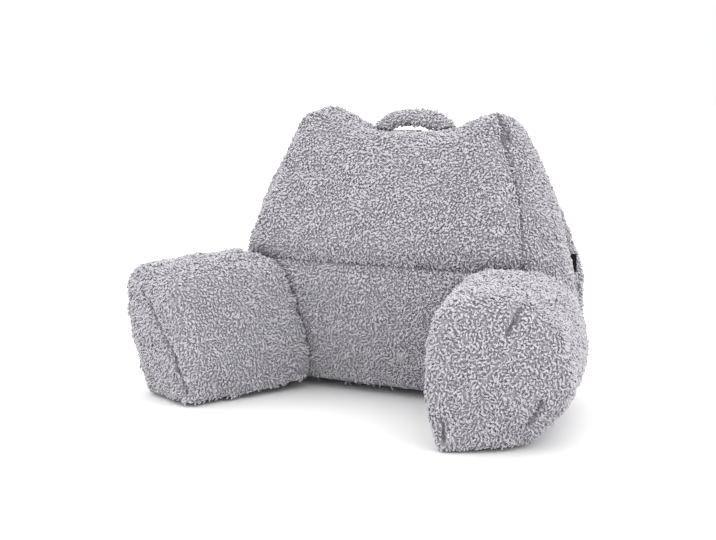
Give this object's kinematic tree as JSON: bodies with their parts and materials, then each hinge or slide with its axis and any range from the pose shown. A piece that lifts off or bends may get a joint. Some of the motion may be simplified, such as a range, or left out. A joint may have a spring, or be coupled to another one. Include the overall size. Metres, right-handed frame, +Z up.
{
  "type": "support cushion",
  "caption": "Filled reading cushion in curly fleece: a wedge backrest with two forward arms, a padded carry handle on its top seam and a small side tab.",
  "frame": {"origin": "bottom centre of the bounding box, on the surface that the cushion stands on", "axes": "+X across both arms, towards the side with the tab; -Y forwards, the way the arms reach; +Z up"},
  "size_m": [0.7432, 0.5094, 0.455],
  "materials": {
    "fleece": "curly teddy fleece, mid grey with a slight cool tint",
    "tab": "black woven tape, bare"
  },
  "bodies": {
    "root": {"back_cushion": "fleece", "left_arm": "fleece", "right_arm": "fleece", "carry_handle": "fleece", "side_tab": "tab"}
  },
  "joints": []
}
